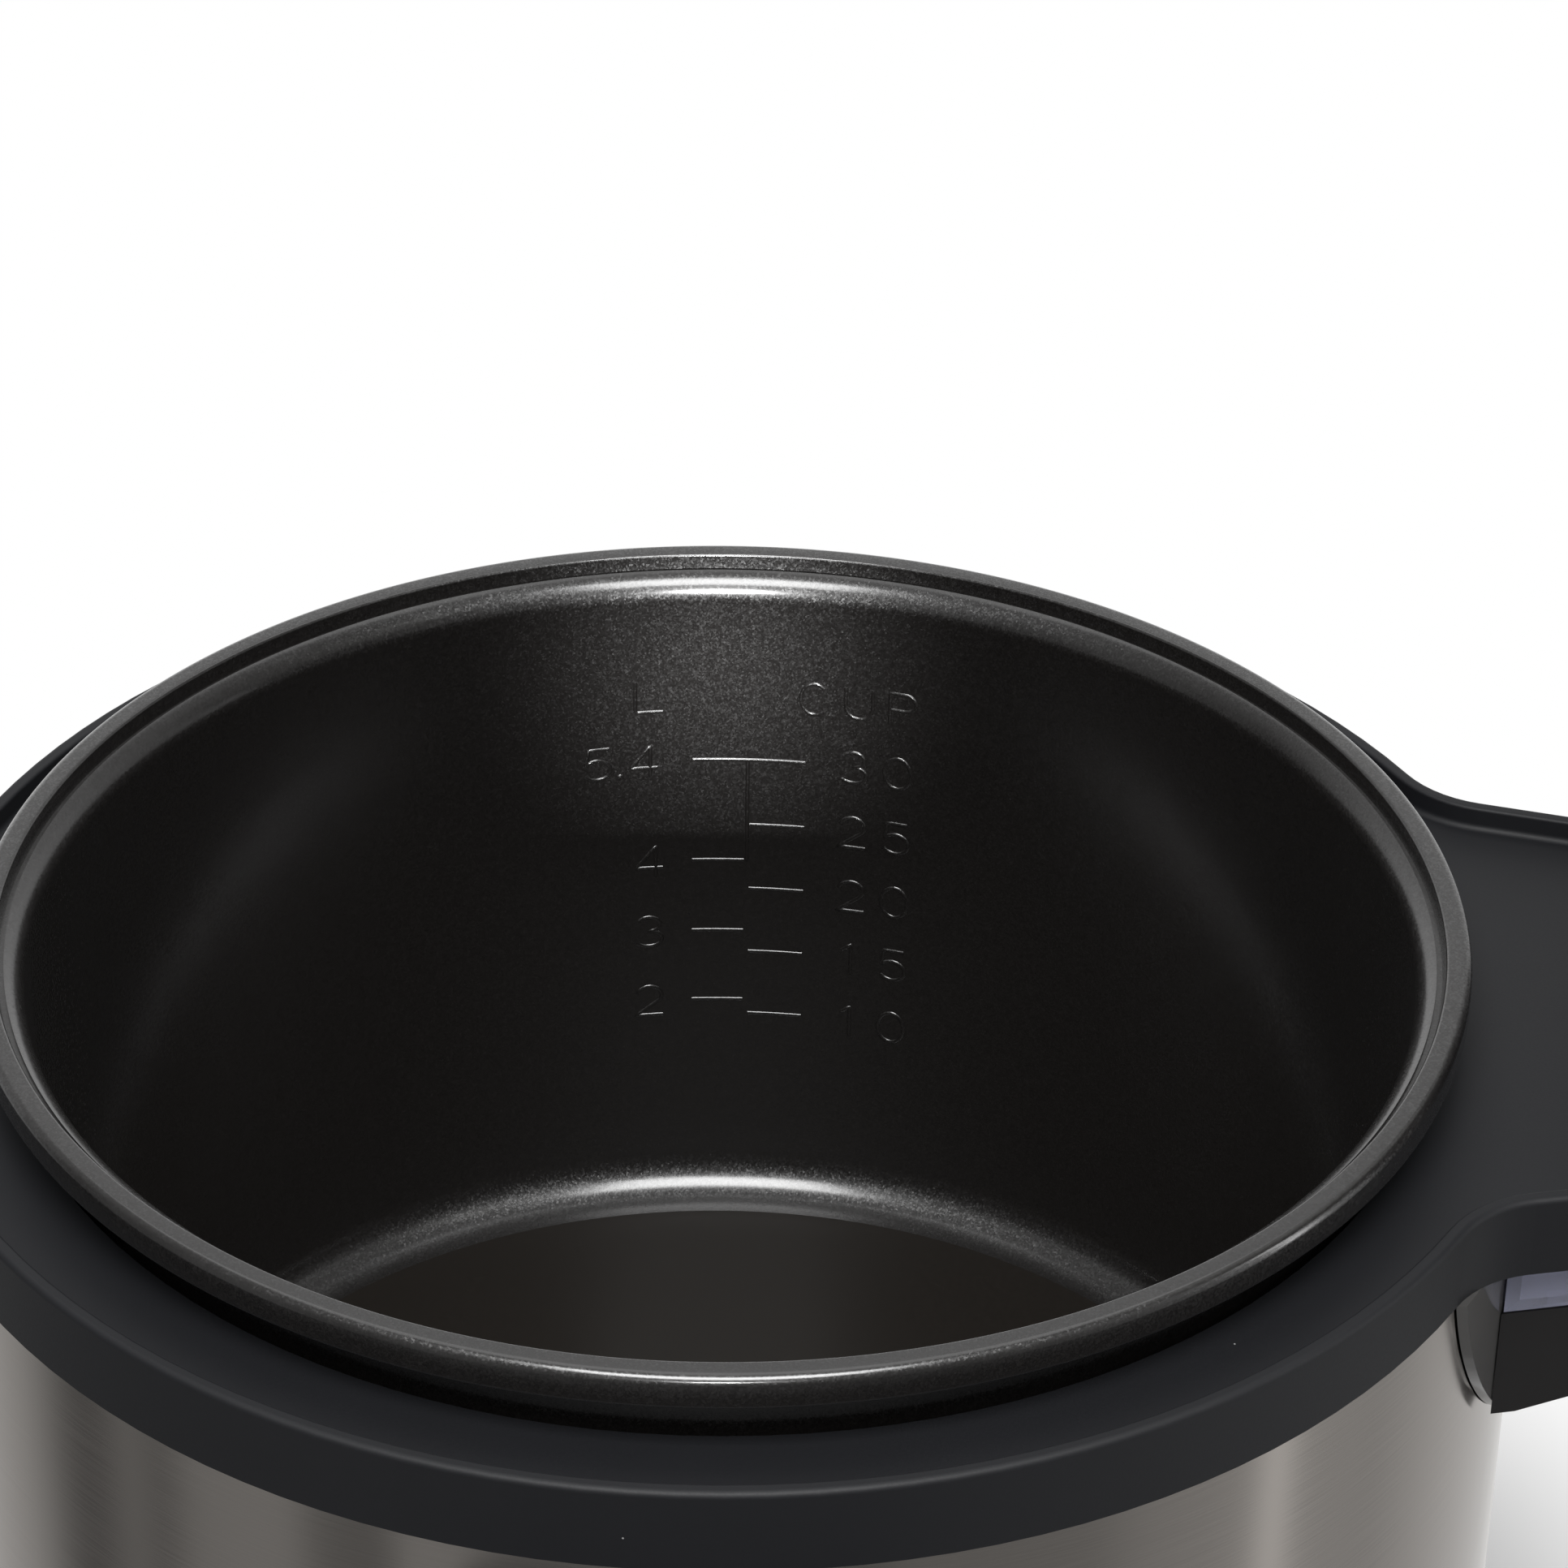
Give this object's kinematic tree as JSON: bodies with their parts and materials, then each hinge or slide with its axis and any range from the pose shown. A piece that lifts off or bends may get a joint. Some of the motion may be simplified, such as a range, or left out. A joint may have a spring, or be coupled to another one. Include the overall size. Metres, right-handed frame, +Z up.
{
  "type": "rice cooker",
  "caption": "Large electric rice cooker with brushed steel body, black tray ring, coated inner pot, rear-hinged lid and clear drip collector.",
  "frame": {"origin": "on the table, under the axis of the pot, at the plane of the feet", "axes": "+Z up along the pot's axis, -Y towards the front with the cook lever, +Y towards the lid hinge"},
  "size_m": [0.4596, 0.5012, 0.7253],
  "materials": {
    "shell_steel": "brushed stainless steel",
    "ring_plastic": "satin moulded black plastic",
    "lid_plastic": "satin moulded dark grey plastic",
    "gloss_plastic": "glossy moulded black plastic",
    "control_plastic": "satin grey plastic",
    "pot_coating": "dark non-stick coating with fine metallic speckle",
    "clear_plastic": "clear moulded plastic with a violet edge",
    "liner_steel": "plain rolled steel sheet",
    "bright_steel": "bright zinc-plated steel",
    "heater_aluminium": "machined cast aluminium",
    "sheet_aluminium": "satin pressed aluminium sheet",
    "element_steel": "dull element sheath",
    "white_ceramic": "unglazed white ceramic",
    "terminal_brass": "plain brass",
    "band_mica": "mica-wrapped heating band",
    "fuse_body": "insulating sleeve",
    "switch_plastic": "moulded black plastic",
    "ferrite": "sintered ferrite",
    "foot_rubber": "matt black rubber",
    "seal_silicone": "translucent grey silicone",
    "lens_red": "clear red lens",
    "lens_amber": "clear amber lens"
  },
  "bodies": {
    "base": {"outer_shell": "shell_steel", "base_ring": "ring_plastic", "bottom_plate": "liner_steel", "feet": "foot_rubber", "base_screws": "bright_steel", "top_ring": "ring_plastic", "hinge_pin": "bright_steel", "hinge_springs": "bright_steel", "inner_liner": "liner_steel", "tie_posts": "bright_steel", "heating_plate": "heater_aluminium", "heating_element": "element_steel", "element_insulators": "white_ceramic", "element_terminals": "terminal_brass", "plate_posts": "bright_steel", "warm_band": "band_mica", "thermal_fuse": "fuse_body", "sensor_sleeve": "bright_steel", "sensor_spring": "bright_steel", "switch_frame": "liner_steel", "lever_pin": "bright_steel", "micro_switch": "switch_plastic", "control_panel": "gloss_plastic", "cook_lens": "lens_red", "warm_lens": "lens_amber", "power_inlet": "switch_plastic", "inlet_pins": "terminal_brass", "terminal_block": "white_ceramic", "rear_plinth": "gloss_plastic", "side_handle_left": "ring_plastic", "side_handle_right": "ring_plastic", "handle_screws": "bright_steel", "latch_strike": "liner_steel"},
    "pot": {"inner_pot": "pot_coating"},
    "collector": {"collector_bin": "gloss_plastic", "collector_cup": "clear_plastic"},
    "lid": {"lid_shell": "ring_plastic", "lid_frame": "lid_plastic", "lid_cover": "shell_steel", "lid_stud": "bright_steel", "lid_screws": "bright_steel", "latch_springs": "bright_steel"},
    "inner_lid": {"inner_lid_plate": "sheet_aluminium", "lid_gasket": "seal_silicone", "lid_grommet": "seal_silicone"},
    "vent": {"vent_cap": "gloss_plastic"},
    "latch": {"latch_button": "control_plastic"},
    "lever": {"cook_lever": "liner_steel", "lever_knob": "control_plastic"},
    "magnet": {"magnet_unit": "ferrite"},
    "sensor": {"sensor_cap": "sheet_aluminium", "ferrite_disc": "ferrite"}
  },
  "joints": [
    {"name": "lid_hinge", "type": "hinge", "parent": "base", "child": "lid", "pos_m": [0, 0.24, 0.2993], "axis": [-1, 0, 0], "range_deg": [-90, 0], "deforming": ["hinge_springs"]},
    {"name": "pot_lift", "type": "slide", "parent": "base", "child": "pot", "axis": [0, 0, 1], "range_m": [0, 0.26]},
    {"name": "collector_pull", "type": "slide", "parent": "base", "child": "collector", "axis": [0, 1, 0], "range_m": [0, 0.08]},
    {"name": "inner_lid_pull", "type": "slide", "parent": "lid", "child": "inner_lid", "axis": [0, -1, 0], "range_m": [0, 0.03]},
    {"name": "vent_pull", "type": "slide", "parent": "lid", "child": "vent", "axis": [0, 1, 0], "range_m": [0, 0.035]},
    {"name": "latch_press", "type": "slide", "parent": "lid", "child": "latch", "axis": [0, 0, -1], "range_m": [0, 0.003], "stiffness_N_per_m": 400, "springref_m": -0.003, "deforming": ["latch_springs"]},
    {"name": "cook_press", "type": "hinge", "parent": "base", "child": "lever", "pos_m": [0, -0.11, 0.057], "axis": [1, 0, 0], "range_deg": [0, 5]},
    {"name": "magnet_lift", "type": "slide", "parent": "base", "child": "magnet", "axis": [0, 0, 1], "range_m": [0, 0.01]},
    {"name": "sensor_press", "type": "slide", "parent": "base", "child": "sensor", "axis": [0, 0, 1], "range_m": [-0.003, 0], "stiffness_N_per_m": 600, "springref_m": 0.004, "deforming": ["sensor_spring"]}
  ],
  "couplings": [
    {"joint": "magnet_lift", "follows": "cook_press", "m_per_rad": 0.114}
  ]
}
